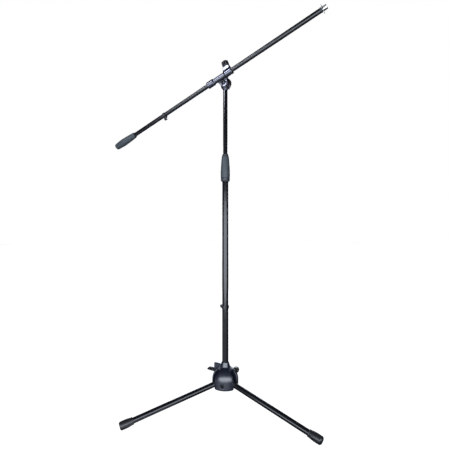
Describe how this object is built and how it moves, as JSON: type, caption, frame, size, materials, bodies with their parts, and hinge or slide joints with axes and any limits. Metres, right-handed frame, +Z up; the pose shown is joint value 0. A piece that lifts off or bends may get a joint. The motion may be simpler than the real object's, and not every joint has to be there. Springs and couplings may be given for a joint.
{
  "type": "boom microphone stand",
  "caption": "Tripod floor stand for a microphone: folding legs in a ball hub, telescoping column with twist clutch, tilting and sliding boom with threaded tip.",
  "frame": {"origin": "on the axis of the column, in the plane of the floor", "axes": "+Z up the column; +X the horizontal direction in which the boom carries the microphone; +Y away from the side of the head that carries the boom"},
  "size_m": [0.8629, 0.6363, 1.3384],
  "materials": {
    "powder_black": "black powder coat, satin, fine orange-peel texture",
    "hub_black": "glossy blue-black glass-filled nylon moulding",
    "casting_grey": "gunmetal-grey metallic paint on a zinc casting",
    "knuckle_black": "black painted zinc casting",
    "knob_black": "black moulded nylon",
    "clutch_black": "dark slate moulded plastic, satin",
    "clip_black": "black moulded plastic",
    "grip_rubber": "slate-grey soft-touch rubber",
    "foot_rubber": "black rubber",
    "bright_nickel": "bright nickel plate",
    "plain_steel": "zinc-plated steel",
    "dark_steel": "blackened steel",
    "natural_nylon": "natural nylon",
    "fibre_washer": "red-brown pressed fibre"
  },
  "bodies": {
    "base": {"hub_casting": "hub_black", "leg_pivot_pins": "dark_steel", "hub_brake_pad": "natural_nylon"},
    "leg_front": {"leg_knuckle_front": "knuckle_black", "leg_tube_front": "powder_black", "leg_foot_front": "foot_rubber"},
    "leg_rear": {"leg_knuckle_rear": "knuckle_black", "leg_tube_rear": "powder_black", "leg_foot_rear": "foot_rubber"},
    "leg_left": {"leg_knuckle_left": "knuckle_black", "leg_tube_left": "powder_black", "leg_foot_left": "foot_rubber"},
    "hub_screw": {"hub_screw_stud": "plain_steel", "hub_screw_wing": "knob_black"},
    "column": {"lower_tube": "powder_black", "column_end_plug": "natural_nylon", "clutch_body": "clutch_black", "clutch_collet": "natural_nylon"},
    "clutch_ring": {"clutch_nut": "clutch_black", "clutch_grip": "grip_rubber", "clutch_nose_ring": "clutch_black"},
    "column_clip": {"column_cable_clip": "clip_black"},
    "guide": {"guide_bush": "natural_nylon"},
    "upper": {"upper_tube": "powder_black", "tube_top_stud": "plain_steel", "swivel_base": "casting_grey", "tilt_friction_washer": "fibre_washer", "tilt_nut_washer": "plain_steel"},
    "carrier": {"boom_carrier": "casting_grey", "boom_guide_bushes": "natural_nylon", "boom_brake_shoe": "natural_nylon", "tilt_bolt": "dark_steel"},
    "tilt_nut": {"tilt_wing_nut": "knob_black"},
    "boom_screw": {"boom_screw_stud": "plain_steel", "boom_screw_knob": "knob_black"},
    "boom": {"boom_tube": "powder_black", "mic_end_cap": "clutch_black", "mic_thread_adapter": "bright_nickel", "boom_grip": "grip_rubber"},
    "lock_ring": {"mic_lock_ring": "bright_nickel"},
    "boom_clip": {"boom_cable_clip": "clip_black"}
  },
  "joints": [
    {"name": "leg_front_fold", "type": "hinge", "parent": "base", "child": "leg_front", "pos_m": [0.02562, -0.00443, 0.1], "axis": [-0.1702, -0.9854, 0], "range_deg": [0, 103]},
    {"name": "leg_rear_fold", "type": "hinge", "parent": "base", "child": "leg_rear", "pos_m": [-0.00898, 0.0244, 0.1], "axis": [0.9385, 0.3453, 0], "range_deg": [0, 103]},
    {"name": "leg_left_fold", "type": "hinge", "parent": "base", "child": "leg_left", "pos_m": [-0.01664, -0.01997, 0.1], "axis": [-0.7683, 0.6401, 0], "range_deg": [0, 103]},
    {"name": "column_drop", "type": "slide", "parent": "base", "child": "column", "axis": [0, 0, -1], "range_m": [0, 0.02]},
    {"name": "hub_screw_turn", "type": "hinge", "parent": "base", "child": "hub_screw", "pos_m": [-0.03942, 0.00681, 0.133], "axis": [-0.9854, 0.1702, 0], "range_deg": [0, 450]},
    {"name": "clutch_twist", "type": "hinge", "parent": "column", "child": "clutch_ring", "pos_m": [0, 0, 0.86], "axis": [0, 0, 1], "range_deg": [0, 180]},
    {"name": "column_clip_slide", "type": "slide", "parent": "column", "child": "column_clip", "axis": [0, 0, 1], "range_m": [-0.16, 0.43]},
    {"name": "height_slide", "type": "slide", "parent": "column", "child": "guide", "axis": [0, 0, 1], "range_m": [-0.226, 0.32]},
    {"name": "column_swivel", "type": "hinge", "parent": "guide", "child": "upper", "pos_m": [0, 0, 0.5], "axis": [0, 0, 1], "continuous": true},
    {"name": "boom_tilt", "type": "hinge", "parent": "upper", "child": "carrier", "pos_m": [0, 0, 1.16], "axis": [0, -1, 0], "range_deg": [-80, 48]},
    {"name": "tilt_nut_turn", "type": "hinge", "parent": "carrier", "child": "tilt_nut", "pos_m": [0, 0.02, 1.16], "axis": [0, 1, 0], "range_deg": [0, 450]},
    {"name": "boom_screw_turn", "type": "hinge", "parent": "carrier", "child": "boom_screw", "pos_m": [0.01211, -0.02, 1.21646], "axis": [-0.3819, 0, 0.9242], "range_deg": [0, 450]},
    {"name": "boom_slide", "type": "slide", "parent": "carrier", "child": "boom", "axis": [0.9242, 0, 0.3819], "range_m": [-0.32, 0.15]},
    {"name": "lock_ring_turn", "type": "hinge", "parent": "boom", "child": "lock_ring", "pos_m": [0.35166, -0.02, 1.3243], "axis": [0.9242, 0, 0.3819], "continuous": true},
    {"name": "boom_clip_slide", "type": "slide", "parent": "boom", "child": "boom_clip", "axis": [0.9242, 0, 0.3819], "range_m": [-0.145, 0.04]}
  ],
  "couplings": [
    {"joint": "leg_rear_fold", "follows": "leg_front_fold", "ratio": 1},
    {"joint": "leg_left_fold", "follows": "leg_front_fold", "ratio": 1},
    {"joint": "column_drop", "follows": "leg_front_fold", "m_per_rad": 0.011124}
  ]
}
